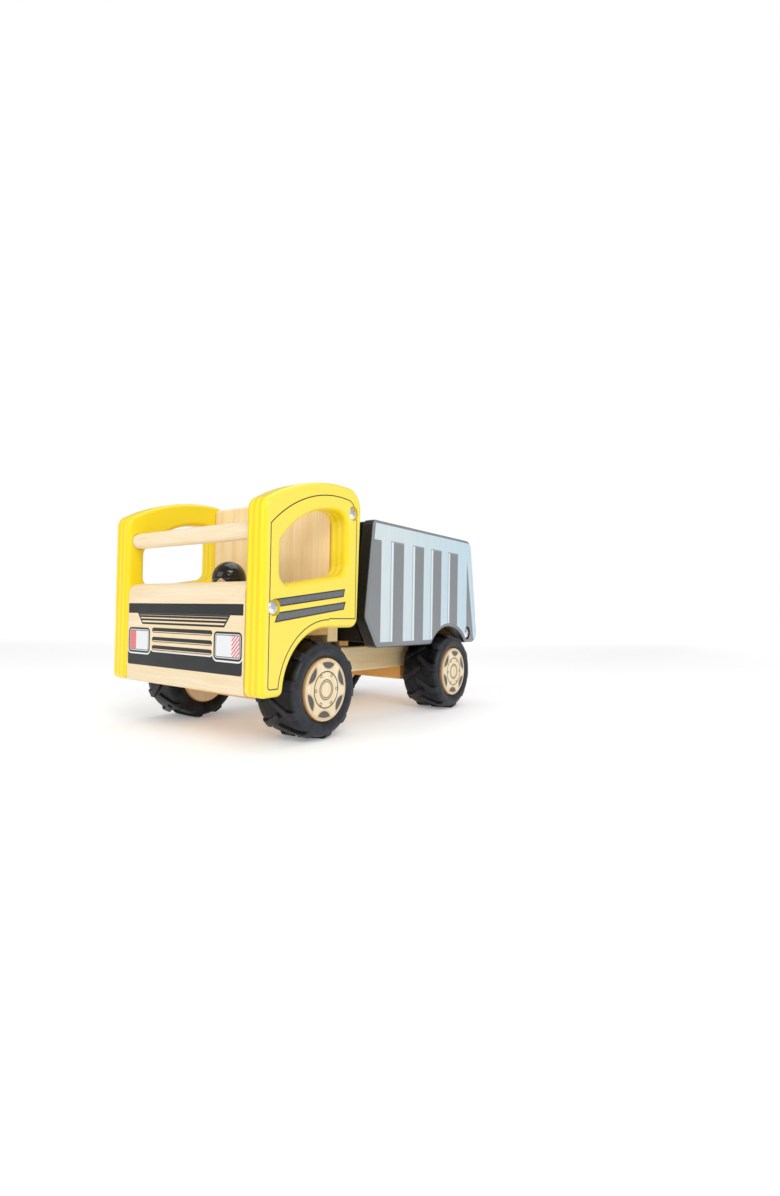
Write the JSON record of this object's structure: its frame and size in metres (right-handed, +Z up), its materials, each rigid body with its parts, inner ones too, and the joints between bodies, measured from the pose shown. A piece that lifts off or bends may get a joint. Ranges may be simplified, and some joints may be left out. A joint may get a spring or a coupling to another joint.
{
  "type": "toy dump truck",
  "caption": "Wooden toy tipper truck: open plywood cab with a peg driver, plank chassis on rubber-tyred wheels, and a tipping bed with a swinging tailgate.",
  "frame": {"origin": "on the ground, midway along the truck's length and width", "axes": "+Z up; the truck faces -Y; its left side is +X"},
  "size_m": [0.168, 0.308, 0.18],
  "materials": {
    "yellow_plywood": "clear yellow lacquer on plywood, ply lines on the edges, thin black door outline and two grey stripes",
    "printed_front": "pale natural wood with a printed grille, headlights and bumper",
    "pale_wood": "pale natural wood, satin clear coat",
    "warm_wood": "natural rubberwood, satin clear coat",
    "printed_hub": "pale wood disc with a printed wheel face",
    "tyre_rubber": "black rubber with chunky lugs",
    "grey_print": "grey painted board with printed pale ribs",
    "black_paint": "near-black painted board",
    "driver_coat": "blue painted wooden peg",
    "driver_head": "natural wood ball with glossy black painted hair",
    "screw_steel": "bright plated screw heads",
    "axle_steel": "plain steel rod",
    "spacer_nylon": "natural nylon spacer"
  },
  "bodies": {
    "chassis": {"chassis_beam": "warm_wood", "front_axle_block": "warm_wood", "rear_axle_block": "warm_wood", "bed_rest": "warm_wood", "bed_pivot_block": "warm_wood", "bed_pivot_screw_left": "screw_steel", "bed_pivot_screw_right": "screw_steel", "cab_floor_packer": "warm_wood", "cab_floor": "warm_wood", "cab_rear_wall": "warm_wood", "front_block": "printed_front", "windscreen_dowel": "pale_wood", "cab_side_left": "yellow_plywood", "cab_side_right": "yellow_plywood", "front_screw_left": "screw_steel", "front_screw_right": "screw_steel", "rear_screw_left": "screw_steel", "rear_screw_right": "screw_steel"},
    "front_wheels": {"front_axle": "axle_steel", "front_axle_washer_left": "spacer_nylon", "front_axle_washer_right": "spacer_nylon", "front_hub_left": "printed_hub", "front_hub_right": "printed_hub", "front_tyre_left": "tyre_rubber", "front_tyre_right": "tyre_rubber"},
    "rear_wheels": {"rear_axle": "axle_steel", "rear_axle_washer_left": "spacer_nylon", "rear_axle_washer_right": "spacer_nylon", "rear_hub_left": "printed_hub", "rear_hub_right": "printed_hub", "rear_tyre_left": "tyre_rubber", "rear_tyre_right": "tyre_rubber"},
    "driver": {"driver_body": "driver_coat", "driver_head": "driver_head"},
    "bed": {"bed_side_left": "grey_print", "bed_side_right": "grey_print", "bed_front_wall": "black_paint", "bed_batten": "black_paint", "bed_floor": "black_paint"},
    "tailgate": {"tailgate": "grey_print", "tailgate_pin_left": "axle_steel", "tailgate_pin_right": "axle_steel"}
  },
  "joints": [
    {"name": "front_wheels_roll", "type": "hinge", "parent": "chassis", "child": "front_wheels", "pos_m": [0, -0.092, 0.035], "axis": [1, 0, 0], "continuous": true},
    {"name": "rear_wheels_roll", "type": "hinge", "parent": "chassis", "child": "rear_wheels", "pos_m": [0, 0.0945, 0.035], "axis": [1, 0, 0], "continuous": true},
    {"name": "bed_tip", "type": "hinge", "parent": "chassis", "child": "bed", "pos_m": [0, 0.1326, 0.0705], "axis": [-1, 0, 0], "range_deg": [0, 48]},
    {"name": "tailgate_swing", "type": "hinge", "parent": "bed", "child": "tailgate", "pos_m": [0, 0.1345, 0.15], "axis": [1, 0, 0], "range_deg": [0, 85]},
    {"name": "driver_lift", "type": "slide", "parent": "chassis", "child": "driver", "axis": [0, 0, 1], "range_m": [0, 0.06]}
  ]
}
